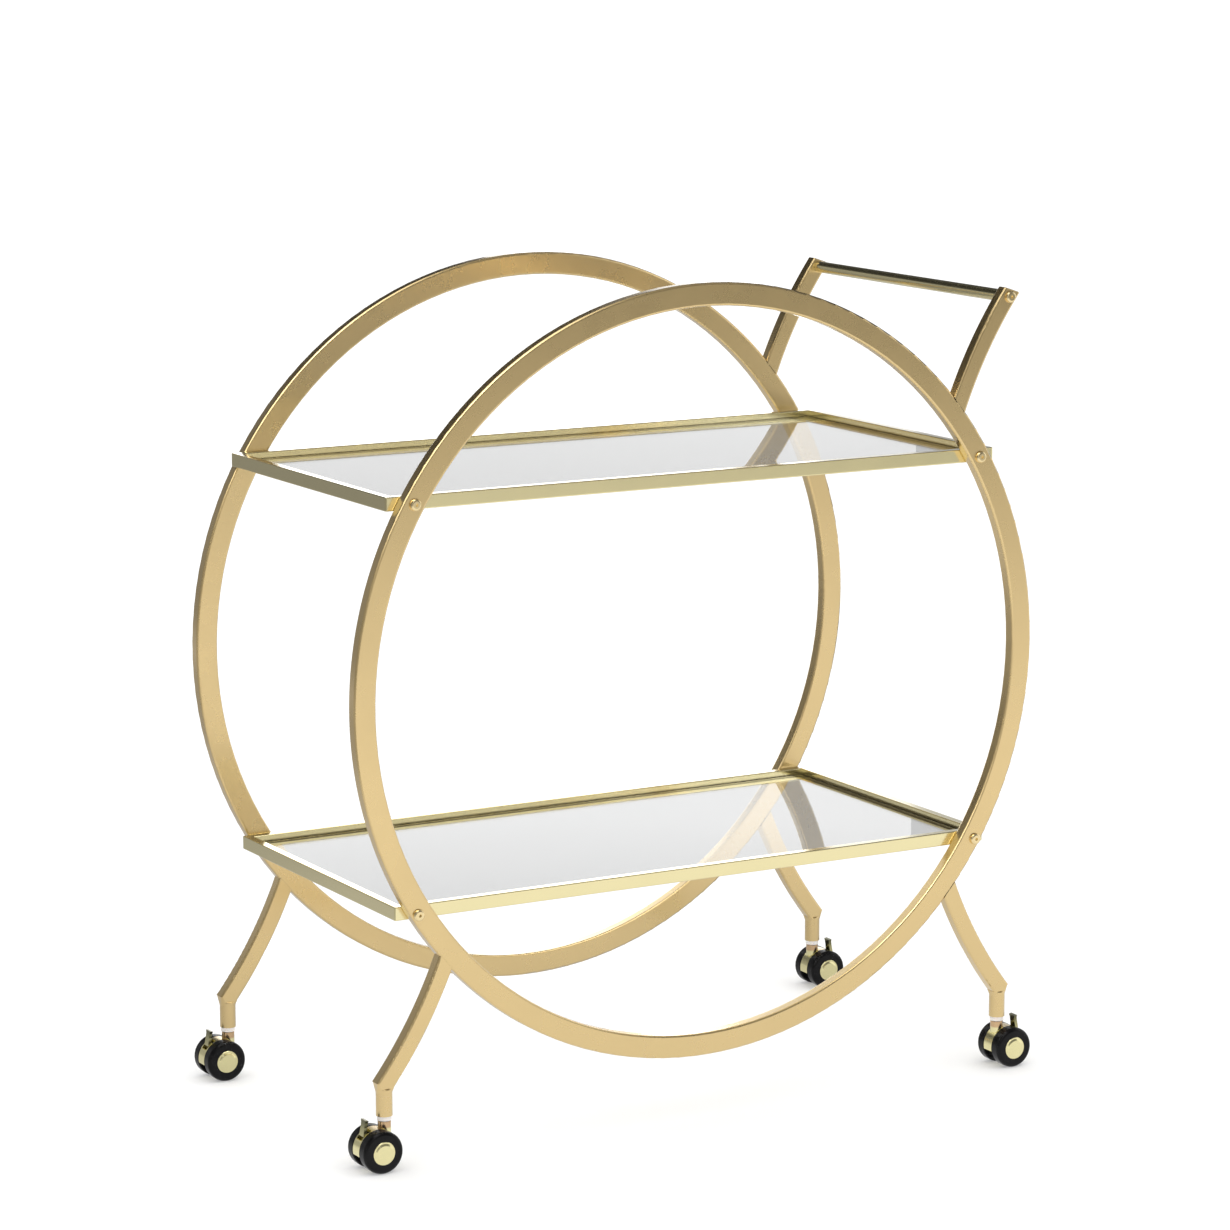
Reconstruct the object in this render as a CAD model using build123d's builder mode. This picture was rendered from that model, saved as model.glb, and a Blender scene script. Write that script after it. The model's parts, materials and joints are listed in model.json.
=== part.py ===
from build123d import *
import os
from math import cos, sin, tan, radians, degrees, atan2, hypot, sqrt

# Two-tier bar cart: two upright rings, two framed glass shelves bolted between
# them, four flared legs on braked twin-wheel casters and a push handle on the
# right. Millimetres, +Z up, -Y is the front, origin on the floor below the
# middle of the cart.

# ---------------------------------------------------------------- dimensions
ring_z = 430.0          # height of the ring centres above the floor
ring_r = 370.0          # outside radius of a ring
ring_w = 22.0           # radial width of the ring tube
tube_t = 12.5           # front-to-back thickness of every flat tube
tube_corner = 2.2       # outside corner radius of the flat tube
tube_wall = 1.5         # wall of every steel tube
cart_depth = 356.0      # outside face of one ring to outside face of the other
ring_y = cart_depth / 2 - tube_t / 2          # mid plane of a ring
inner_y = cart_depth / 2 - tube_t             # inside face of a ring
ring_mid_r = ring_r - ring_w / 2

leg_w = 17.5            # width of the leg and handle-arm tube, seen from the front
leg_cx, leg_cz = 700.0, ring_z - 69.0         # centre of the leg's bend
leg_r = 446.5           # radius of the leg's hollow (outer) edge
leg_start, leg_stop = -21.0, -41.0            # leg sweep about that centre, degrees

arm_cx, arm_cz = 715.5, ring_z + 69.75        # centre of the handle arm's bend
arm_r = 455.6           # radius of the arm's outer edge
arm_start, arm_stop = 159.4, 141.0            # arm sweep about that centre, degrees
arm_top_x, arm_top_z = 342.0, ring_z + 346.0  # a point on the arm's top cut
arm_top_slope = 18.5    # fall of the top cut toward the outside, degrees
arm_cap = 2.0           # closed end of the arm
arm_edge = 1.3          # rounding round that end

bar_d = 12.0            # round push bar between the arms
bar_x, bar_z = 338.8, ring_z + 339.2

stem_x = 341.0          # caster stem axis
stem_y = ring_y
mitre_x, mitre_z = 341.5, ring_z - 350.2      # middle of the leg's mitred end
mitre_tilt = 17.5       # mitre plane from horizontal, degrees
socket_d = 15.6         # round tube under the leg
socket_bottom = 50.5
socket_top = 76.6       # rounded top of the round part
socket_edge = 1.2
socket_shoulder = ring_z - 358.0              # where the flat head has run into the tube
sleeve_d = 11.6         # plastic sleeve in the socket
sleeve_flange_d = 13.5
sleeve_flange_h = 4.5
sleeve_top = 73.0
stem_d = 8.0
fit = 0.05              # radial clearance of pins in bores

tray_y = inner_y        # trays fill the space between the rings
upper_x, upper_z = 330.5, ring_z + 185.5      # half length, mid height of the rail
lower_x, lower_z = 325.0, ring_z - 193.6
rail_w, rail_h = 9.0, 13.0
rail_wall = 1.2
rail_edge = 1.0
ledge_w, ledge_t = 8.0, 2.0
glass_t = 4.0
glass_drop = 6.3        # glass top below the rail top
glass_gap = 1.0         # glass edge to rail
bolt_x = 307.0          # tray bolts, on the ring's mid radius
bolt_d, bolt_head_d, bolt_head_h = 5.0, 11.2, 3.3
bolt_hole_d = 5.4
hex_af = 3.0

axle_z = 20.0           # wheel radius is 20, so the axle stands 20 above the floor
trail = 9.5             # axle outboard of the stem
wheel_r = 20.0
wheel_in, wheel_out = 7.0, 19.0               # wheel faces from the caster's mid plane
hood_r = 19.8           # hood between the wheels
hood_half = 6.5         # half thickness of the hood
hood_floor = -3.9       # lower edge of the hood from the axle
neck_d = 12.4
neck_top = socket_bottom - sleeve_flange_h - 0.3
axle_d = 5.0
cap_d = 22.0
slot_half = 5.0         # half width of the lever slot
eye_half = 4.5          # half width of the lever inside the slot
pivot_u, pivot_w = 9.5, 11.5                  # lever pivot from the axle (outboard, up)
toe_u, toe_w = 3.0, 11.0                      # brake bar on the lever's toe
pin_d = 3.0
bar_r = 1.4
pocket_r = 16.0         # inner rim of a wheel that the brake bar is pressed on

os.makedirs("parts", exist_ok=True)


def arc_plane(cx, cz, angle):
    """Plane through a bend's axis with its x along the radius at this angle."""
    a = radians(angle)
    return Plane(origin=(cx, 0, cz), x_dir=(cos(a), 0, sin(a)), z_dir=(-sin(a), 0, cos(a)))


# ---------------------------------------------------------------- rings
# solid outline of the front ring, a hair thicker than the tube, used to cope the
# tubes that butt against it
with BuildPart() as ring_blank:
    with BuildSketch(Plane.XY.offset(ring_z)) as ring_outline:
        with Locations((ring_mid_r, -ring_y)):
            RectangleRounded(ring_w, tube_t + 0.3, tube_corner)
    revolve(axis=Axis((0, 0, ring_z), (0, 1, 0)))

with BuildPart() as front_ring:
    with BuildSketch(Plane.XY.offset(ring_z)) as ring_section:
        with Locations((ring_mid_r, -ring_y)):
            RectangleRounded(ring_w, tube_t, tube_corner)
            RectangleRounded(ring_w - 2 * tube_wall, tube_t - 2 * tube_wall, tube_corner - tube_wall, mode=Mode.SUBTRACT)
    revolve(axis=Axis((0, 0, ring_z), (0, 1, 0)))
    # bolt holes through both walls
    with BuildSketch(Plane.XZ.offset(cart_depth / 2 + 1)) as ring_holes:
        with Locations((-bolt_x, upper_z), (bolt_x, upper_z), (-bolt_x, lower_z), (bolt_x, lower_z)):
            Circle(bolt_hole_d / 2)
    extrude(amount=-(tube_t + 2), mode=Mode.SUBTRACT)
front_ring.part.label = "front_ring"
export_step(front_ring.part, "parts/front_ring.step")

with BuildPart() as rear_ring:
    mirror(front_ring.part, about=Plane.XZ)
rear_ring.part.label = "rear_ring"
export_step(rear_ring.part, "parts/rear_ring.step")

# ---------------------------------------------------------------- legs
mitre_a = radians(mitre_tilt)
mitre_plane = Plane(
    origin=(-mitre_x, -ring_y, mitre_z),
    x_dir=(cos(mitre_a), 0, -sin(mitre_a)),
    z_dir=(-sin(mitre_a), 0, -cos(mitre_a)),
)

with BuildPart() as front_left_leg:
    with BuildSketch(arc_plane(-leg_cx, leg_cz, leg_start)) as leg_section:
        with Locations((leg_r + leg_w / 2, -ring_y)):
            RectangleRounded(leg_w, tube_t, tube_corner)
            RectangleRounded(leg_w - 2 * tube_wall, tube_t - 2 * tube_wall, tube_corner - tube_wall, mode=Mode.SUBTRACT)
    revolve(axis=Axis((-leg_cx, 0, leg_cz), (0, 1, 0)), revolution_arc=leg_start - leg_stop)
    split(bisect_by=mitre_plane, keep=Keep.BOTTOM)
    add(ring_blank.part, mode=Mode.SUBTRACT)
front_left_leg.part.label = "front_left_leg"
export_step(front_left_leg.part, "parts/front_left_leg.step")

with BuildPart() as front_right_leg:
    mirror(front_left_leg.part, about=Plane.YZ)
front_right_leg.part.label = "front_right_leg"
export_step(front_right_leg.part, "parts/front_right_leg.step")

with BuildPart() as rear_left_leg:
    mirror(front_left_leg.part, about=Plane.XZ)
rear_left_leg.part.label = "rear_left_leg"
export_step(rear_left_leg.part, "parts/rear_left_leg.step")

with BuildPart() as rear_right_leg:
    mirror(front_right_leg.part, about=Plane.XZ)
rear_right_leg.part.label = "rear_right_leg"
export_step(rear_right_leg.part, "parts/rear_right_leg.step")

# ---------------------------------------------------------------- caster sockets
# a round tube takes the caster; its rounded top stands proud of the flat head
# that carries on from the leg
with BuildPart() as front_left_socket:
    with BuildSketch(Plane.XY.offset(socket_bottom)) as socket_tube:
        with Locations((-stem_x, -stem_y)):
            Circle(socket_d / 2)
    extrude(amount=socket_top - socket_bottom)
    fillet(front_left_socket.edges().group_by(Axis.Z)[-1], socket_edge)
    with BuildSketch(mitre_plane) as socket_head:
        RectangleRounded(leg_w / cos(mitre_a), tube_t, tube_corner)
    with BuildSketch(Plane.XY.offset(socket_shoulder)) as socket_neck:
        with Locations((-stem_x, -stem_y)):
            RectangleRounded(socket_d - 0.05, tube_t, tube_t / 2 - 0.05)
    loft()
    with BuildSketch(Plane.XY.offset(socket_bottom)) as socket_bore:
        with Locations((-stem_x, -stem_y)):
            Circle(sleeve_d / 2 + fit)
    extrude(amount=sleeve_top - socket_bottom + 0.5, mode=Mode.SUBTRACT)
front_left_socket.part.label = "front_left_socket"
export_step(front_left_socket.part, "parts/front_left_socket.step")

with BuildPart() as front_right_socket:
    mirror(front_left_socket.part, about=Plane.YZ)
front_right_socket.part.label = "front_right_socket"
export_step(front_right_socket.part, "parts/front_right_socket.step")

with BuildPart() as rear_left_socket:
    mirror(front_left_socket.part, about=Plane.XZ)
rear_left_socket.part.label = "rear_left_socket"
export_step(rear_left_socket.part, "parts/rear_left_socket.step")

with BuildPart() as rear_right_socket:
    mirror(front_right_socket.part, about=Plane.XZ)
rear_right_socket.part.label = "rear_right_socket"
export_step(rear_right_socket.part, "parts/rear_right_socket.step")

# ---------------------------------------------------------------- sleeves and stems
stems_at = [(-stem_x, -stem_y), (stem_x, -stem_y), (-stem_x, stem_y), (stem_x, stem_y)]

with BuildPart() as stem_sleeves:
    with BuildSketch(Plane.XY.offset(socket_bottom - sleeve_flange_h)) as sleeve_flange:
        with Locations(*stems_at):
            Circle(sleeve_flange_d / 2)
    extrude(amount=sleeve_flange_h)
    fillet(stem_sleeves.edges().filter_by(GeomType.CIRCLE), 0.6)
    with BuildSketch(Plane.XY.offset(socket_bottom - 1)) as sleeve_body:
        with Locations(*stems_at):
            Circle(sleeve_d / 2)
    extrude(amount=sleeve_top - socket_bottom + 1)
    with BuildSketch(Plane.XY.offset(socket_bottom - sleeve_flange_h)) as sleeve_bore:
        with Locations(*stems_at):
            Circle(stem_d / 2 + fit)
    extrude(amount=sleeve_top - socket_bottom + sleeve_flange_h, mode=Mode.SUBTRACT)
stem_sleeves.part.label = "stem_sleeves"
export_step(stem_sleeves.part, "parts/stem_sleeves.step")

stem_foot = axle_z + 11.0       # underside of the riveted end of the stem
with BuildPart() as caster_stems:
    with BuildSketch(Plane.XY.offset(stem_foot)) as stem_shaft:
        with Locations(*stems_at):
            Circle(stem_d / 2)
    extrude(amount=sleeve_top - 1.0 - stem_foot)
    chamfer(caster_stems.edges().group_by(Axis.Z)[-1], 1.0)
    with BuildSketch(Plane.XY.offset(stem_foot)) as stem_rivet:
        with Locations(*stems_at):
            Circle(stem_d / 2 + 0.9)
    extrude(amount=1.4)
caster_stems.part.label = "caster_stems"
export_step(caster_stems.part, "parts/caster_stems.step")

# ---------------------------------------------------------------- handle
top_a = radians(arm_top_slope)
arm_cut = Plane(
    origin=(arm_top_x, -ring_y, arm_top_z),
    x_dir=(cos(top_a), 0, -sin(top_a)),
    z_dir=(sin(top_a), 0, cos(top_a)),
)
arm_core_cut = arm_cut.offset(-arm_cap)

# hollow of the arm, stopping short of the closed top end
with BuildPart() as arm_core:
    with BuildSketch(arc_plane(arm_cx, arm_cz, arm_start)) as arm_core_section:
        with Locations((arm_r + leg_w / 2, -ring_y)):
            RectangleRounded(leg_w - 2 * tube_wall, tube_t - 2 * tube_wall, tube_corner - tube_wall)
    revolve(axis=Axis((arm_cx, 0, arm_cz), (0, 1, 0)), revolution_arc=arm_start - arm_stop)
    split(bisect_by=arm_core_cut, keep=Keep.BOTTOM)

with BuildPart() as front_handle_arm:
    with BuildSketch(arc_plane(arm_cx, arm_cz, arm_start)) as arm_section:
        with Locations((arm_r + leg_w / 2, -ring_y)):
            RectangleRounded(leg_w, tube_t, tube_corner)
    revolve(axis=Axis((arm_cx, 0, arm_cz), (0, 1, 0)), revolution_arc=arm_start - arm_stop)
    split(bisect_by=arm_cut, keep=Keep.BOTTOM)
    fillet(front_handle_arm.faces().sort_by(Axis.Z)[-1].edges(), arm_edge)
    add(arm_core.part, mode=Mode.SUBTRACT)
    add(ring_blank.part, mode=Mode.SUBTRACT)
    with BuildSketch(Plane.XZ.offset(cart_depth / 2 + 1)) as arm_hole:
        with Locations((bar_x, bar_z)):
            Circle(bolt_hole_d / 2)
    extrude(amount=-(tube_t + 2), mode=Mode.SUBTRACT)
front_handle_arm.part.label = "front_handle_arm"
export_step(front_handle_arm.part, "parts/front_handle_arm.step")

with BuildPart() as rear_handle_arm:
    with BuildSketch(arc_plane(arm_cx, arm_cz, arm_start)) as rear_arm_section:
        with Locations((arm_r + leg_w / 2, ring_y)):
            RectangleRounded(leg_w, tube_t, tube_corner)
    revolve(axis=Axis((arm_cx, 0, arm_cz), (0, 1, 0)), revolution_arc=arm_start - arm_stop)
    split(bisect_by=arm_cut, keep=Keep.BOTTOM)
    fillet(rear_handle_arm.faces().sort_by(Axis.Z)[-1].edges(), arm_edge)
    add(arm_core.part.moved(Location((0, 2 * ring_y, 0))), mode=Mode.SUBTRACT)
    add(ring_blank.part.moved(Location((0, 2 * ring_y, 0))), mode=Mode.SUBTRACT)
    with BuildSketch(Plane.XZ.offset(-cart_depth / 2 - 1)) as rear_arm_hole:
        with Locations((bar_x, bar_z)):
            Circle(bolt_hole_d / 2)
    extrude(amount=tube_t + 2, mode=Mode.SUBTRACT)
rear_handle_arm.part.label = "rear_handle_arm"
export_step(rear_handle_arm.part, "parts/rear_handle_arm.step")

with BuildPart() as handle_bar:
    with BuildSketch(Plane.XZ.offset(inner_y)) as bar_section:
        with Locations((bar_x, bar_z)):
            Circle(bar_d / 2)
            Circle(bar_d / 2 - tube_wall, mode=Mode.SUBTRACT)
    extrude(amount=-2 * inner_y)
handle_bar.part.label = "handle_bar"
export_step(handle_bar.part, "parts/handle_bar.step")

plug_l = 16.0
with BuildPart() as handle_plugs:
    with BuildSketch(Plane.XZ.offset(inner_y)) as plug_section:
        with Locations((bar_x, bar_z)):
            Circle(bar_d / 2 - tube_wall - fit)
            Circle(bolt_d / 2 + fit, mode=Mode.SUBTRACT)
    extrude(amount=-plug_l)
    mirror(about=Plane.XZ)
handle_plugs.part.label = "handle_plugs"
export_step(handle_plugs.part, "parts/handle_plugs.step")

with BuildPart() as handle_bolts:
    with BuildSketch(Plane.XZ.offset(cart_depth / 2)) as handle_bolt_head:
        with Locations((bar_x, bar_z)):
            Circle(bolt_head_d / 2)
    extrude(amount=bolt_head_h)
    fillet(handle_bolts.edges().group_by(Axis.Y)[0], 2.2)
    with BuildSketch(Plane.XZ.offset(cart_depth / 2)) as handle_bolt_shank:
        with Locations((bar_x, bar_z)):
            Circle(bolt_d / 2)
    extrude(amount=-(tube_t + plug_l - 3))
    with BuildSketch(Plane.XZ.offset(cart_depth / 2 + bolt_head_h)) as handle_bolt_hex:
        with Locations((bar_x, bar_z)):
            RegularPolygon(hex_af / 2, 6, major_radius=False)
    extrude(amount=-2.0, mode=Mode.SUBTRACT)
    mirror(about=Plane.XZ)
handle_bolts.part.label = "handle_bolts"
export_step(handle_bolts.part, "parts/handle_bolts.step")

# ---------------------------------------------------------------- trays
upper_bottom = upper_z - rail_h / 2
lower_bottom = lower_z - rail_h / 2

with BuildPart() as upper_tray_frame:
    with BuildSketch(Plane.XY.offset(upper_bottom)) as upper_rails:
        RectangleRounded(2 * upper_x, 2 * tray_y, 2.0)
        Rectangle(2 * (upper_x - rail_w), 2 * (tray_y - rail_w), mode=Mode.SUBTRACT)
    extrude(amount=rail_h)
    fillet(upper_tray_frame.faces().sort_by(Axis.Z)[-1].edges() + upper_tray_frame.faces().sort_by(Axis.Z)[0].edges(), rail_edge)
    with BuildSketch(Plane.XY.offset(upper_bottom + rail_wall)) as upper_hollow:
        Rectangle(2 * (upper_x - rail_wall), 2 * (tray_y - rail_wall))
        Rectangle(2 * (upper_x - rail_w + rail_wall), 2 * (tray_y - rail_w + rail_wall), mode=Mode.SUBTRACT)
    extrude(amount=rail_h - 2 * rail_wall, mode=Mode.SUBTRACT)
    with BuildSketch(Plane.XZ.offset(tray_y + 1)) as upper_front_holes:
        with Locations((-bolt_x, upper_z), (bolt_x, upper_z)):
            Circle(bolt_hole_d / 2)
    extrude(amount=-(rail_wall + 2), mode=Mode.SUBTRACT)
    with BuildSketch(Plane.XZ.offset(-tray_y - 1)) as upper_rear_holes:
        with Locations((-bolt_x, upper_z), (bolt_x, upper_z)):
            Circle(bolt_hole_d / 2)
    extrude(amount=rail_wall + 2, mode=Mode.SUBTRACT)
upper_tray_frame.part.label = "upper_tray_frame"
export_step(upper_tray_frame.part, "parts/upper_tray_frame.step")

with BuildPart() as lower_tray_frame:
    with BuildSketch(Plane.XY.offset(lower_bottom)) as lower_rails:
        RectangleRounded(2 * lower_x, 2 * tray_y, 2.0)
        Rectangle(2 * (lower_x - rail_w), 2 * (tray_y - rail_w), mode=Mode.SUBTRACT)
    extrude(amount=rail_h)
    fillet(lower_tray_frame.faces().sort_by(Axis.Z)[-1].edges() + lower_tray_frame.faces().sort_by(Axis.Z)[0].edges(), rail_edge)
    with BuildSketch(Plane.XY.offset(lower_bottom + rail_wall)) as lower_hollow:
        Rectangle(2 * (lower_x - rail_wall), 2 * (tray_y - rail_wall))
        Rectangle(2 * (lower_x - rail_w + rail_wall), 2 * (tray_y - rail_w + rail_wall), mode=Mode.SUBTRACT)
    extrude(amount=rail_h - 2 * rail_wall, mode=Mode.SUBTRACT)
    with BuildSketch(Plane.XZ.offset(tray_y + 1)) as lower_front_holes:
        with Locations((-bolt_x, lower_z), (bolt_x, lower_z)):
            Circle(bolt_hole_d / 2)
    extrude(amount=-(rail_wall + 2), mode=Mode.SUBTRACT)
    with BuildSketch(Plane.XZ.offset(-tray_y - 1)) as lower_rear_holes:
        with Locations((-bolt_x, lower_z), (bolt_x, lower_z)):
            Circle(bolt_hole_d / 2)
    extrude(amount=rail_wall + 2, mode=Mode.SUBTRACT)
lower_tray_frame.part.label = "lower_tray_frame"
export_step(lower_tray_frame.part, "parts/lower_tray_frame.step")

upper_ledge_z = upper_bottom + rail_h - glass_drop - glass_t - ledge_t
lower_ledge_z = lower_bottom + rail_h - glass_drop - glass_t - ledge_t

with BuildPart() as upper_glass_ledge:
    with BuildSketch(Plane.XY.offset(upper_ledge_z)) as upper_ledge_ring:
        Rectangle(2 * (upper_x - rail_w), 2 * (tray_y - rail_w))
        Rectangle(2 * (upper_x - rail_w - ledge_w), 2 * (tray_y - rail_w - ledge_w), mode=Mode.SUBTRACT)
    extrude(amount=ledge_t)
upper_glass_ledge.part.label = "upper_glass_ledge"
export_step(upper_glass_ledge.part, "parts/upper_glass_ledge.step")

with BuildPart() as lower_glass_ledge:
    with BuildSketch(Plane.XY.offset(lower_ledge_z)) as lower_ledge_ring:
        Rectangle(2 * (lower_x - rail_w), 2 * (tray_y - rail_w))
        Rectangle(2 * (lower_x - rail_w - ledge_w), 2 * (tray_y - rail_w - ledge_w), mode=Mode.SUBTRACT)
    extrude(amount=ledge_t)
lower_glass_ledge.part.label = "lower_glass_ledge"
export_step(lower_glass_ledge.part, "parts/lower_glass_ledge.step")

with BuildPart() as upper_glass:
    with BuildSketch(Plane.XY.offset(upper_ledge_z + ledge_t)) as upper_pane:
        RectangleRounded(2 * (upper_x - rail_w - glass_gap), 2 * (tray_y - rail_w - glass_gap), 2.0)
    extrude(amount=glass_t)
    chamfer(upper_glass.faces().sort_by(Axis.Z)[-1].edges() + upper_glass.faces().sort_by(Axis.Z)[0].edges(), 0.5)
upper_glass.part.label = "upper_glass"
export_step(upper_glass.part, "parts/upper_glass.step")

with BuildPart() as lower_glass:
    with BuildSketch(Plane.XY.offset(lower_ledge_z + ledge_t)) as lower_pane:
        RectangleRounded(2 * (lower_x - rail_w - glass_gap), 2 * (tray_y - rail_w - glass_gap), 2.0)
    extrude(amount=glass_t)
    chamfer(lower_glass.faces().sort_by(Axis.Z)[-1].edges() + lower_glass.faces().sort_by(Axis.Z)[0].edges(), 0.5)
lower_glass.part.label = "lower_glass"
export_step(lower_glass.part, "parts/lower_glass.step")

# ---------------------------------------------------------------- tray fasteners
front_bolts = [(-bolt_x, upper_z), (bolt_x, upper_z), (-bolt_x, lower_z), (bolt_x, lower_z)]
insert_l = rail_w - 2 * rail_wall - 0.6

with BuildPart() as tray_bolts:
    with BuildSketch(Plane.XZ.offset(cart_depth / 2)) as tray_bolt_head:
        with Locations(*front_bolts):
            Circle(bolt_head_d / 2)
    extrude(amount=bolt_head_h)
    fillet(tray_bolts.edges().group_by(Axis.Y)[0], 2.2)
    with BuildSketch(Plane.XZ.offset(cart_depth / 2)) as tray_bolt_shank:
        with Locations(*front_bolts):
            Circle(bolt_d / 2)
    extrude(amount=-(tube_t + rail_wall + insert_l - 0.5))
    with BuildSketch(Plane.XZ.offset(cart_depth / 2 + bolt_head_h)) as tray_bolt_hex:
        with Locations(*front_bolts):
            RegularPolygon(hex_af / 2, 6, major_radius=False)
    extrude(amount=-2.0, mode=Mode.SUBTRACT)
    mirror(about=Plane.XZ)
tray_bolts.part.label = "tray_bolts"
export_step(tray_bolts.part, "parts/tray_bolts.step")

with BuildPart() as tray_inserts:
    with BuildSketch(Plane.XZ.offset(tray_y - rail_wall)) as insert_section:
        with Locations(*front_bolts):
            Circle(4.0)
            Circle(bolt_d / 2 + fit, mode=Mode.SUBTRACT)
    extrude(amount=-insert_l)
    mirror(about=Plane.XZ)
tray_inserts.part.label = "tray_inserts"
export_step(tray_inserts.part, "parts/tray_inserts.step")

# ---------------------------------------------------------------- casters
# Every caster is drawn from its axle: u runs outboard, w up, and side is -1 on
# the left of the cart and +1 on the right.
for corner, side, end in (("front_left", -1, -1), ("front_right", 1, -1), ("rear_left", -1, 1), ("rear_right", 1, 1)):
    stem_at = (side * stem_x, end * stem_y)
    axle_x = side * (stem_x + trail)
    mid_y = end * stem_y
    mid_plane = Plane.XZ.offset(-mid_y)
    turn = Axis((axle_x, mid_y, axle_z), (0, 1, 0))

    def at(u, w):
        return (axle_x + side * u, axle_z + w)

    # hood between the wheels with the neck the stem runs in
    with BuildPart() as housing:
        with BuildSketch(mid_plane) as hood:
            with Locations(at(0, 0)):
                Circle(hood_r)
            with Locations(at(0, hood_floor - 15)):
                Rectangle(60, 30, mode=Mode.SUBTRACT)
            with Locations(at(0, 0)):
                Circle(6.5)
        extrude(amount=hood_half, both=True)
        with BuildSketch(Plane.XY.offset(axle_z + 14.0)) as neck:
            with Locations(stem_at):
                Circle(neck_d / 2)
        extrude(amount=neck_top - axle_z - 14.0)
        fillet(housing.edges().filter_by(GeomType.CIRCLE).group_by(Axis.Z)[-1], 0.5)
        # running bore for the stem and the pocket its riveted end turns in
        with BuildSketch(Plane.XY.offset(axle_z + 9.0)) as stem_bore:
            with Locations(stem_at):
                Circle(stem_d / 2 + fit)
        extrude(amount=40.0, mode=Mode.SUBTRACT)
        with BuildSketch(Plane.XY.offset(axle_z + 9.0)) as rivet_pocket:
            with Locations(stem_at):
                Circle(stem_d / 2 + 1.3)
        extrude(amount=3.7, mode=Mode.SUBTRACT)
        # axle bore and lever pin bore
        with BuildSketch(mid_plane) as cross_bores:
            with Locations(at(0, 0)):
                Circle(axle_d / 2 + 0.03)
            with Locations(at(pivot_u, pivot_w)):
                Circle(pin_d / 2 + 0.03)
        extrude(amount=hood_half + 1, both=True, mode=Mode.SUBTRACT)
        # slot the lever swings in, open through the top of the hood
        with BuildSketch(mid_plane) as lever_slot:
            with BuildLine() as slot_edge:
                Polyline(at(1.0, 8.9), at(1.0, 15.9), at(5.4, 15.9), at(6.4, 22.0), at(21.0, 22.0), at(21.0, 10.6), at(15.2, 10.6), at(13.0, 8.0), at(6.0, 8.0), close=True)
            make_face()
        extrude(amount=slot_half, both=True, mode=Mode.SUBTRACT)
        # windows the brake bar reaches the wheels through
        with BuildSketch(mid_plane) as bar_window:
            with Locations(at(3.2, 12.4)):
                RectangleRounded(4.2, 6.6, 1.0)
        extrude(amount=hood_half + 1, both=True, mode=Mode.SUBTRACT)
    housing.part.label = corner + "_caster_housing"
    export_step(housing.part, "parts/" + corner + "_caster_housing.step")

    with BuildPart() as axle:
        with BuildSketch(mid_plane) as axle_shaft:
            with Locations(at(0, 0)):
                Circle(axle_d / 2)
        extrude(amount=17.2, both=True)
        with BuildSketch(mid_plane.offset(16.2)) as axle_near_head:
            with Locations(at(0, 0)):
                Circle(4.0)
        extrude(amount=1.0)
        with BuildSketch(mid_plane.offset(-16.2)) as axle_far_head:
            with Locations(at(0, 0)):
                Circle(4.0)
        extrude(amount=-1.0)
    axle.part.label = corner + "_axle"
    export_step(axle.part, "parts/" + corner + "_axle.step")

    with BuildPart() as lever_pin:
        with BuildSketch(mid_plane) as pin_section:
            with Locations(at(pivot_u, pivot_w)):
                Circle(pin_d / 2)
        extrude(amount=hood_half, both=True)
    lever_pin.part.label = corner + "_lever_pin"
    export_step(lever_pin.part, "parts/" + corner + "_lever_pin.step")

    # brake lever: upright tab with a fishtail tip, pivot eye, and a toe whose
    # cross bar is pressed on the wheel rims when the tab is trodden outboard
    with BuildPart() as brake_lever:
        with BuildSketch(mid_plane) as lever_side:
            with BuildLine() as tab_edge:
                Polyline(at(8.9, 28.6), at(11.9, 29.2), at(14.2, 14.0), at(12.2, 10.4), at(9.5, 8.6), at(toe_u, toe_w - bar_r), at(toe_u, toe_w + bar_r), at(7.6, 13.4), at(10.9, 14.6), close=True)
            make_face()
            with Locations(at(pivot_u, pivot_w)):
                Circle(3.0)
            with Locations(at(toe_u, toe_w)):
                Circle(bar_r)
        extrude(amount=5.0, both=True)
        with BuildSketch(Plane.YZ.offset(axle_x)) as lever_front:
            with BuildLine() as front_edge:
                Polyline((mid_y - eye_half, axle_z + 5), (mid_y - eye_half, axle_z + 14), (mid_y - 3.75, axle_z + 22), (mid_y - 3.9, axle_z + 26.4), (mid_y - 4.9, axle_z + 28.6), (mid_y - 4.9, axle_z + 31), (mid_y + 4.9, axle_z + 31), (mid_y + 4.9, axle_z + 28.6), (mid_y + 3.9, axle_z + 26.4), (mid_y + 3.75, axle_z + 22), (mid_y + eye_half, axle_z + 14), (mid_y + eye_half, axle_z + 5), close=True)
            make_face()
        extrude(amount=25.0, both=True, mode=Mode.INTERSECT)
        with BuildSketch(mid_plane) as lever_eye:
            with Locations(at(pivot_u, pivot_w)):
                Circle(pin_d / 2 + fit)
        extrude(amount=eye_half + 1, both=True, mode=Mode.SUBTRACT)
        with BuildSketch(mid_plane) as brake_bar:
            with Locations(at(toe_u, toe_w)):
                Circle(bar_r)
        extrude(amount=10.4, both=True)
    brake_lever.part.label = corner + "_brake_lever"
    export_step(brake_lever.part, "parts/" + corner + "_brake_lever.step")

    # one wheel and its hub cap toward the outside of the cart, one of each inboard
    for place, face in (("outer", end), ("inner", -end)):
        def q(r, y):
            return (axle_x + r, mid_y + face * y)

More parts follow.
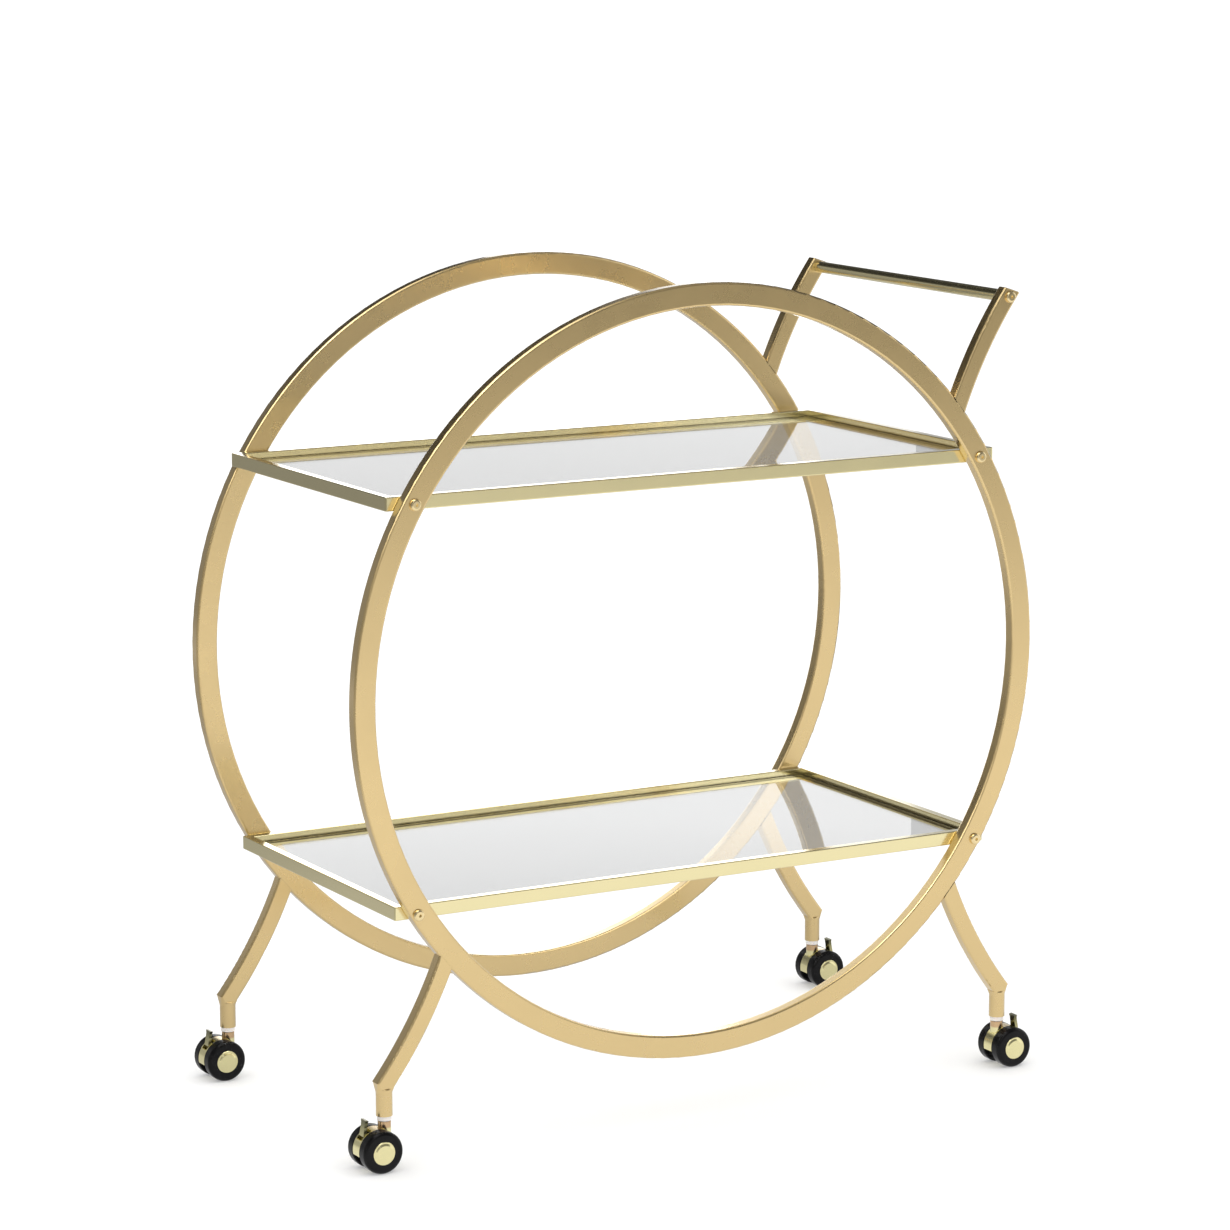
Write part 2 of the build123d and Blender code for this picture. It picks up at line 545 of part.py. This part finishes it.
        with BuildPart() as wheel:
            with BuildSketch(Plane.XY.offset(axle_z)) as wheel_section:
                with BuildLine() as wheel_edge:
                    Polyline(q(axle_d / 2 + fit, 6.9), q(axle_d / 2 + fit, 15.9), q(9.4, 15.9), q(9.4, 17.6), q(cap_d / 2 + 0.1, 17.6), q(cap_d / 2 + 0.1, wheel_out), q(16.2, wheel_out))
                    ThreePointArc(q(16.2, wheel_out), q(18.887, 17.887), q(wheel_r, 15.2))
                    Line(q(wheel_r, 15.2), q(wheel_r, 8.3))
                    ThreePointArc(q(wheel_r, 8.3), q(19.619, 7.381), q(18.7, wheel_in))
                    Polyline(q(18.7, wheel_in), q(pocket_r, wheel_in), q(pocket_r, 11.6), q(7.6, 11.6), q(7.6, 6.9), q(axle_d / 2 + fit, 6.9))
                make_face()
            revolve(axis=turn)
        wheel.part.label = corner + "_" + place + "_wheel"
        export_step(wheel.part, "parts/" + corner + "_" + place + "_wheel.step")

        with BuildPart() as hub_cap:
            with BuildSketch(Plane.XY.offset(axle_z)) as cap_section:
                with BuildLine() as cap_edge:
                    Polyline(q(0, 17.6), q(cap_d / 2, 17.6), q(cap_d / 2, 19.05), q(cap_d / 2 - 0.35, 19.4), q(9.5, 19.4), q(8.0, 20.15), q(7.5, 20.3), q(0, 20.3), close=True)
                make_face()
            revolve(axis=turn)
        hub_cap.part.label = corner + "_" + place + "_hub_cap"
        export_step(hub_cap.part, "parts/" + corner + "_" + place + "_hub_cap.step")
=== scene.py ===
import json
import math
import bpy
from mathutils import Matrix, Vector

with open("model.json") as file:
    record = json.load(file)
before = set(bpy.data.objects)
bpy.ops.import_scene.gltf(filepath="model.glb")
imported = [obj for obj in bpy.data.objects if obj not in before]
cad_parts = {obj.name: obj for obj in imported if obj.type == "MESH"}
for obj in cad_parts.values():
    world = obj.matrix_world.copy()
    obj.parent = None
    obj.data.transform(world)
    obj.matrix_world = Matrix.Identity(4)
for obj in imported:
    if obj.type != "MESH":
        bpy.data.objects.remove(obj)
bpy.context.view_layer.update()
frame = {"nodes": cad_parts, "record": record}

nodes = frame["nodes"]
scene = bpy.context.scene


# ------------------------------------------------------------------ materials
def material(name):
    m = bpy.data.materials.new(name)
    m.use_nodes = True
    nt = m.node_tree
    nt.nodes.clear()
    out = nt.nodes.new("ShaderNodeOutputMaterial")
    bsdf = nt.nodes.new("ShaderNodeBsdfPrincipled")
    nt.links.new(bsdf.outputs["BSDF"], out.inputs["Surface"])
    return m, nt, bsdf


def noise(nt, scale, detail=3.0, rough=0.55, stretch=(1, 1, 1)):
    """Noise in the part's own coordinates, in metres."""
    tc = nt.nodes.new("ShaderNodeTexCoord")
    mp = nt.nodes.new("ShaderNodeMapping")
    mp.inputs["Scale"].default_value = stretch
    nz = nt.nodes.new("ShaderNodeTexNoise")
    nz.inputs["Scale"].default_value = scale
    nz.inputs["Detail"].default_value = detail
    nz.inputs["Roughness"].default_value = rough
    nt.links.new(tc.outputs["Object"], mp.inputs["Vector"])
    nt.links.new(mp.outputs["Vector"], nz.inputs["Vector"])
    return nz.outputs["Fac"]


def ramp(nt, fac, stops):
    r = nt.nodes.new("ShaderNodeValToRGB")
    e = r.color_ramp.elements
    while len(e) < len(stops):
        e.new(0.5)
    for el, (pos, col) in zip(e, stops):
        el.position = pos
        el.color = (*col, 1.0)
    nt.links.new(fac, r.inputs["Fac"])
    return r.outputs["Color"]


def spread(nt, fac, lo, hi, a=0.3, b=0.7):
    r = nt.nodes.new("ShaderNodeMapRange")
    r.inputs["From Min"].default_value = a
    r.inputs["From Max"].default_value = b
    r.inputs["To Min"].default_value = lo
    r.inputs["To Max"].default_value = hi
    nt.links.new(fac, r.inputs["Value"])
    return r.outputs["Result"]


def bump(nt, bsdf, fac, strength, distance):
    b = nt.nodes.new("ShaderNodeBump")
    b.inputs["Strength"].default_value = strength
    b.inputs["Distance"].default_value = distance
    nt.links.new(fac, b.inputs["Height"])
    nt.links.new(b.outputs["Normal"], bsdf.inputs["Normal"])


def tint(col, k):
    return tuple(c * k for c in col)


def by_height(nt, lo, hi, stops):
    """Colour that changes with height in the part's own coordinates."""
    tc = nt.nodes.new("ShaderNodeTexCoord")
    sp = nt.nodes.new("ShaderNodeSeparateXYZ")
    nt.links.new(tc.outputs["Object"], sp.inputs["Vector"])
    h = spread(nt, sp.outputs["Z"], 0.0, 1.0, lo, hi)
    return ramp(nt, h, [((p - lo) / (hi - lo), v) for p, v in stops])


def metal(name, col, rough, vary=0.02, grain=0.012, cloud=14.0, fine=2600.0, rough_vary=0.025, coat=0.0, painted_shade=None):
    """Plated metal: cloudy colour, uneven polish, a fine grain and, with coat, a lacquer coat; painted_shade multiplies
    in painted shade that changes with height.
    """
    m, nt, bsdf = material(name)
    bsdf.inputs["Metallic"].default_value = 1.0
    cl = noise(nt, cloud, 4.0)
    c = ramp(nt, cl, [(0.30, tint(col, 1 - vary)), (0.52, col), (0.74, tint(col, 1 + vary))])
    # painted shade: the colour is multiplied by a ramp over the part's height
    if painted_shade:
        mix = nt.nodes.new("ShaderNodeMix")
        mix.data_type = "RGBA"
        mix.blend_type = "MULTIPLY"
        mix.inputs["Factor"].default_value = 1.0
        nt.links.new(c, mix.inputs[6])
        nt.links.new(by_height(nt, painted_shade[0][0], painted_shade[-1][0], painted_shade), mix.inputs[7])
        c = mix.outputs[2]
    nt.links.new(c, bsdf.inputs["Base Color"])
    fn = noise(nt, fine, 2.0)
    sm = noise(nt, cloud * 2.3, 5.0, 0.6)
    nt.links.new(spread(nt, sm, rough - rough_vary, rough + rough_vary), bsdf.inputs["Roughness"])
    bump(nt, bsdf, fn, grain, 0.0001)
    if coat:
        bsdf.inputs["Coat Weight"].default_value = coat
        bsdf.inputs["Coat Roughness"].default_value = 0.12
    return m


satin_gold = metal("satin_gold", (0.80, 0.595, 0.275), 0.28, coat=1.0)
polished_gold = metal("polished_gold", (0.88, 0.78, 0.43), 0.17, vary=0.015, grain=0.01, rough_vary=0.02, coat=1.0)
bolt_gold = metal("bolt_gold", (0.90, 0.72, 0.39), 0.20, vary=0.03, grain=0.01, cloud=160.0, rough_vary=0.03, coat=0.5)
hardware_gold = metal("hardware_gold", (0.92, 0.84, 0.45), 0.18, vary=0.02, grain=0.01, cloud=90.0, rough_vary=0.03, coat=0.5)
# painted shade: the neck of a housing is painted darker and browner than its hood
housing_gold_painted_shade = metal("housing_gold_painted_shade", (0.92, 0.84, 0.45), 0.18, vary=0.02, grain=0.01, cloud=90.0, rough_vary=0.03, coat=0.5,
                     painted_shade=[(0.0, (1, 1, 1)), (0.0385, (1, 1, 1)), (0.0405, (0.74, 0.55, 0.56)), (0.05, (0.74, 0.55, 0.56))])
# painted shade: the lever is painted darker toward its tip
lever_gold_painted_shade = metal("lever_gold_painted_shade", (0.90, 0.82, 0.46), 0.22, vary=0.04, grain=0.01, cloud=120.0, rough_vary=0.04, coat=0.3,
                   painted_shade=[(0.02, (0.70, 0.70, 0.64)), (0.034, (0.60, 0.60, 0.54)), (0.042, (0.40, 0.41, 0.36)), (0.0455, (0.22, 0.23, 0.20)), (0.05, (0.17, 0.18, 0.16))])
bright_steel = metal("bright_steel", (0.60, 0.60, 0.59), 0.30, vary=0.04, grain=0.02, cloud=120.0)

clear_glass, nt, bsdf = material("clear_glass")
bsdf.inputs["Transmission Weight"].default_value = 1.0
bsdf.inputs["IOR"].default_value = 1.5
c = ramp(nt, noise(nt, 3.0, 2.0), [(0.35, (0.955, 0.965, 0.965)), (0.65, (0.975, 0.98, 0.98))])
nt.links.new(c, bsdf.inputs["Base Color"])
nt.links.new(spread(nt, noise(nt, 18.0, 5.0), 0.0, 0.015), bsdf.inputs["Roughness"])

black_wheel, nt, bsdf = material("black_wheel")
c = ramp(nt, noise(nt, 160.0, 4.0), [(0.35, (0.0025, 0.0024, 0.0026)), (0.70, (0.006, 0.0056, 0.006))])
nt.links.new(c, bsdf.inputs["Base Color"])
nt.links.new(spread(nt, noise(nt, 260.0, 4.0), 0.17, 0.25), bsdf.inputs["Roughness"])
bsdf.inputs["Specular IOR Level"].default_value = 0.20
bump(nt, bsdf, noise(nt, 1800.0, 2.0), 0.03, 0.0002)

white_plastic, nt, bsdf = material("white_plastic")
c = ramp(nt, noise(nt, 120.0, 3.0), [(0.3, (0.80, 0.74, 0.69)), (0.7, (0.87, 0.83, 0.79))])
nt.links.new(c, bsdf.inputs["Base Color"])
nt.links.new(spread(nt, noise(nt, 300.0, 3.0), 0.30, 0.42), bsdf.inputs["Roughness"])
bsdf.inputs["Subsurface Weight"].default_value = 0.2
bsdf.inputs["Subsurface Radius"].default_value = (0.003, 0.002, 0.0015)
bump(nt, bsdf, noise(nt, 900.0, 2.0), 0.04, 0.0002)

slots = {
    "satin_gold": satin_gold,
    "polished_gold": polished_gold,
    "gold_hardware": hardware_gold,
    "gold_bolt": bolt_gold,
    "clear_glass": clear_glass,
    "black_wheel": black_wheel,
    "white_plastic": white_plastic,
    "bright_steel": bright_steel,
}
for part in frame["record"]["subparts"]:
    o = nodes[part["node"]]
    m = slots[part["material_slot"]]
    # housings and levers get copies of the gold with painted shade
    if part["node"].endswith("_caster_housing"):
        m = housing_gold_painted_shade
    elif part["node"].endswith("_brake_lever"):
        m = lever_gold_painted_shade
    if not o.data.materials:
        o.data.materials.append(m)
    for i in range(len(o.data.materials)):
        o.data.materials[i] = m


# ------------------------------------------------------------------ studio
def link(o):
    scene.collection.objects.link(o)
    return o


def flat_mesh(name, verts, faces):
    me = bpy.data.meshes.new(name)
    me.from_pydata(verts, [], faces)
    me.update()
    return link(bpy.data.objects.new(name, me))


floor = flat_mesh("floor", [(-60, -60, 0), (80, -60, 0), (80, 100, 0), (-60, 100, 0)], [(0, 1, 2, 3)])
fm, nt, bsdf = material("floor_pale")
bsdf.inputs["Base Color"].default_value = (0.90, 0.90, 0.90, 1.0)
bsdf.inputs["Roughness"].default_value = 1.0
bsdf.inputs["Specular IOR Level"].default_value = 0.0
floor.data.materials.append(fm)
floor.visible_glossy = False


def card(name, verts, faces, axis, lo, hi, stops, strength=1.0, lights=None, cover=None, hue=(1, 1, 1)):
    """Studio card seen only in reflections, shaded along one axis; with lights, a
    see-through one that only the named nodes catch, and with cover, one that thins
    out by that share at each corner. The hue tints it."""
    o = flat_mesh(name, verts, faces)
    m = bpy.data.materials.new(name)
    m.use_nodes = True
    nt = m.node_tree
    nt.nodes.clear()
    out = nt.nodes.new("ShaderNodeOutputMaterial")
    em = nt.nodes.new("ShaderNodeEmission")
    em.inputs["Strength"].default_value = strength
    tc = nt.nodes.new("ShaderNodeTexCoord")
    sp = nt.nodes.new("ShaderNodeSeparateXYZ")
    nt.links.new(tc.outputs["Object"], sp.inputs["Vector"])
    h = spread(nt, sp.outputs[axis], 0.0, 1.0, lo, hi)
    r = ramp(nt, h, [((p - lo) / (hi - lo), tint(hue, v)) for p, v in stops])
    nt.links.new(r, em.inputs["Color"])
    if lights:
        clear = nt.nodes.new("ShaderNodeBsdfTransparent")
        both = nt.nodes.new("ShaderNodeAddShader")
        nt.links.new(em.outputs["Emission"], both.inputs[0])
        nt.links.new(clear.outputs["BSDF"], both.inputs[1])
        nt.links.new(both.outputs["Shader"], out.inputs["Surface"])
        catch = bpy.data.collections.new("lit_by_" + name)
        for n in lights:
            catch.objects.link(nodes[n])
        o.light_linking.receiver_collection = catch
    elif cover:
        share = o.data.attributes.new("cover", "FLOAT", "POINT")
        share.data.foreach_set("value", cover)
        at = nt.nodes.new("ShaderNodeAttribute")
        at.attribute_name = "cover"
        clear = nt.nodes.new("ShaderNodeBsdfTransparent")
        mix = nt.nodes.new("ShaderNodeMixShader")
        nt.links.new(at.outputs["Fac"], mix.inputs["Fac"])
        nt.links.new(clear.outputs["BSDF"], mix.inputs[1])
        nt.links.new(em.outputs["Emission"], mix.inputs[2])
        nt.links.new(mix.outputs["Shader"], out.inputs["Surface"])
    else:
        nt.links.new(em.outputs["Emission"], out.inputs["Surface"])
    o.data.materials.append(m)
    o.visible_camera = False
    o.visible_shadow = False
    o.visible_diffuse = False
    o.visible_transmission = False
    return o


def arc_card(name, az0, az1, radius, z0, z1, stops, steps=32, lights=None, fade=0.0, hue=(1, 1, 1)):
    """Upright card bent round the object; azimuth 0 is +Y and 90 is +X. It fades out
    over the last degrees before az1."""
    verts, faces, cover = [], [], []
    for i in range(steps + 1):
        a = math.radians(az0 + (az1 - az0) * i / steps)
        x, y = radius * math.sin(a), radius * math.cos(a)
        verts += [(x, y, z0), (x, y, z1)]
        cover += [min(1.0, (az1 - az0) * (steps - i) / steps / fade)] * 2 if fade else []
    for i in range(steps):
        faces.append((2 * i, 2 * i + 1, 2 * i + 3, 2 * i + 2))
    return card(name, verts, faces, "Z", z0, z1, stops, lights=lights, cover=cover, hue=hue)


square = [(-6, -6, 0.0002), (6, -6, 0.0002), (6, 6, 0.0002), (-6, 6, 0.0002)]
card("card_floor", square, [(0, 1, 2, 3)], "Y", -3.0, 3.0,
     [(-3.0, 1.06), (-1.5, 1.10), (-0.8, 0.95), (-0.3, 0.88), (-0.05, 0.76), (0.1, 0.64), (0.6, 0.50), (3.0, 0.42)])
# ceiling, bright on the left and dark on the right, that lines the upper front corners
card("card_ceiling", [(-3, -3, 2.65), (3, -3, 2.65), (3, 3, 2.65), (-3, 3, 2.65)], [(0, 1, 2, 3)],
     "X", -3.0, 3.0, [(-3.0, 1.0), (-1.8, 1.7), (-0.1, 1.7), (0.3, 0.25), (3.0, 0.25)])
card("card_behind", [(-0.25, 0.45, 0.0004), (0.6, 0.45, 0.0004), (0.6, 1.25, 0.0004), (-0.25, 1.25, 0.0004)], [(0, 1, 2, 3)],
     "Y", 0.4, 1.3, [(0.4, 0.55), (0.7, 0.66), (1.0, 0.66), (1.3, 0.50)])
arc_card("card_left", -138, -30, 1.15, 0.001, 2.2,
         [(0.0, 0.40), (0.12, 0.36), (0.2, 0.36), (0.24, 0.45), (0.28, 0.54), (0.33, 0.42), (0.38, 0.28), (0.42, 0.26), (0.6, 0.28), (0.8, 0.26), (0.95, 0.20), (1.02, 0.16), (1.12, 0.07), (1.4, 0.04), (2.2, 0.05)])
arc_card("card_left_near", -30, 2, 1.15, 0.001, 0.95,
         [(0.0, 0.36), (0.18, 0.30), (0.45, 0.15), (0.80, 0.08), (0.90, 0.12), (0.95, 0.18)], fade=5.0)
arc_card("card_left_high", -30, 2, 1.15, 0.95, 2.2,
         [(0.95, 0.18), (0.98, 0.24), (1.04, 0.18), (1.10, 0.06), (1.4, 0.03), (2.2, 0.04)])
arc_card("card_left_top", 2, 20, 1.15, 0.95, 2.2, [(0.95, 0.12), (1.1, 0.03), (2.2, 0.03)])
arc_card("card_back", 0, 42.2, 2.0, 0.001, 2.4,
         [(0.0, 0.80), (0.28, 1.50), (0.42, 2.20), (0.53, 2.00), (0.57, 1.44), (0.68, 1.42), (0.83, 1.04), (0.96, 0.86), (1.05, 0.86), (1.12, 0.18), (1.35, 0.08), (1.6, 0.06), (2.4, 0.05)])
arc_card("card_back_end", 42.2, 75, 2.0, 0.001, 2.4,
         [(0.0, 0.60), (0.42, 0.70), (0.57, 0.62), (0.83, 0.45), (1.05, 0.40), (1.12, 0.12), (1.35, 0.08), (2.4, 0.05)])
# narrow key card that lines the front corners of the tubes
arc_card("card_key", -168, -138, 2.3, 0.001, 2.4,
         [(0.0, 0.45), (0.55, 0.32), (0.95, 0.30), (1.10, 0.85), (1.90, 1.00), (2.10, 0.30), (2.4, 0.20)])
arc_card("card_front", 130, 200, 2.4, 0.001, 2.6,
         [(0.0, 1.08), (0.15, 0.84), (0.38, 0.42), (0.62, 0.22), (2.6, 0.20)])
# strips that line the inner faces of the rails
panes = ["upper_glass", "lower_glass", "upper_tray_frame", "lower_tray_frame"]
arc_card("card_rails", 146, 200, 2.35, 0.5, 1.2,
         [(0.5, 0.0), (0.56, 0.7), (0.76, 0.7), (0.82, 0.0), (0.95, 0.0), (0.99, 0.9), (1.10, 0.9), (1.15, 0.0), (1.2, 0.0)],
         lights=panes, hue=(1.0, 0.84, 0.54))
arc_card("card_rails_right", -30, 2, 1.10, 0.2, 1.1,
         [(0.2, 0.0), (0.32, 0.10), (0.52, 0.10), (0.62, 0.1), (0.72, 0.34), (0.95, 0.34), (1.1, 0.0)],
         lights=panes, hue=(1.0, 0.75, 0.38))
arc_card("card_rails_end", 130, 146, 2.35, 0.5, 1.0,
         [(0.5, 0.0), (0.62, 0.1), (0.68, 1.6), (0.88, 1.6), (0.95, 0.0), (1.0, 0.0)], lights=panes)
# lifts on the foot of the front ring and on the push bar
arc_card("card_foot", 5, 55, 1.95, 0.28, 0.72, [(0.28, 0.0), (0.36, 1.5), (0.62, 1.5), (0.72, 0.0)], lights=["front_ring"])
arc_card("card_bar", -30, 2, 1.12, 0.3, 1.2, [(0.3, 0.0), (0.5, 0.12), (0.7, 0.22), (1.0, 0.16), (1.1, 0.05), (1.2, 0.0)], lights=["handle_bar"])
# strips overhead and on the left that draw a pale line along the rounded corners of the rings
arc_card("card_corner_left", -136, -95, 1.12, 0.85, 2.0, [(0.85, 0.0), (1.05, 2.0), (1.9, 2.6), (2.0, 0.0)], lights=["front_ring", "rear_ring"])
arc_card("card_corner_front", -155, -136, 1.12, 1.0, 2.0, [(1.0, 0.0), (1.1, 2.0), (1.9, 2.6), (2.0, 0.0)], lights=["front_ring", "rear_ring"])
card("card_corner", [(-2.4, -2.8, 2.6), (-0.3, -2.8, 2.6), (-0.3, -0.5, 2.6), (-2.4, -0.5, 2.6)], [(0, 1, 2, 3)],
     "X", -2.4, -0.3, [(-2.4, 0.0), (-2.1, 3.0), (-0.6, 3.0), (-0.3, 0.0)], lights=["front_ring", "rear_ring"])
# the floor as it shows through the shelves
shade = card("card_shade", square, [(0, 1, 2, 3)], "Y", -3.0, 3.0,
             [(-3.0, 0.5), (-0.75, 0.5), (-0.55, 1.0), (0.22, 1.0), (0.35, 0.8), (0.55, 0.5), (3.0, 0.5)])
shade.visible_glossy = False
shade.visible_transmission = True
floor.visible_transmission = False

# soft panel behind the cart that lifts the upward faces of the tubes and rails
panel = bpy.data.lights.new("back_panel", "AREA")
panel.shape = "RECTANGLE"
panel.size = 1.3
panel.size_y = 0.75
panel.energy = 4.0
panel_o = link(bpy.data.objects.new("back_panel", panel))
a = math.radians(18)
panel_o.location = (1.75 * math.sin(a), 1.75 * math.cos(a), 0.95)
panel_o.rotation_euler = (math.radians(90), 0.0, math.pi - a)
lit = bpy.data.collections.new("lit_by_panel")
for n in ("front_ring", "rear_ring", "upper_tray_frame", "lower_tray_frame"):
    lit.objects.link(nodes[n])
panel_o.light_linking.receiver_collection = lit
panel_o.visible_camera = False
panel_o.visible_diffuse = False
panel_o.visible_transmission = False

world = bpy.data.worlds.new("studio")
scene.world = world
world.use_nodes = True
bg = world.node_tree.nodes["Background"]
bg.inputs["Color"].default_value = (1, 1, 1, 1)
bg.inputs["Strength"].default_value = 1.0

sun = bpy.data.lights.new("soft_sun", "SUN")
sun.energy = 1.0
sun.angle = math.radians(50)
sun.use_shadow = False
sun_o = link(bpy.data.objects.new("soft_sun", sun))
sun_o.rotation_euler = (math.radians(18), math.radians(10), 0)
sun_o.visible_glossy = False

# ------------------------------------------------------------------ camera
cam = bpy.data.cameras.new("camera")
cam.sensor_width = 36.0
cam.lens = 124.08
cam.clip_start = 0.1
cam.clip_end = 300.0
cam_o = link(bpy.data.objects.new("camera", cam))
cam_o.location = (-2.0160, -3.5335, 1.1947)
cam_o.rotation_euler = (math.radians(90 - 10.243), 0.0, math.radians(-29.720))
scene.camera = cam_o

scene.view_settings.view_transform = "Standard"
scene.view_settings.look = "None"
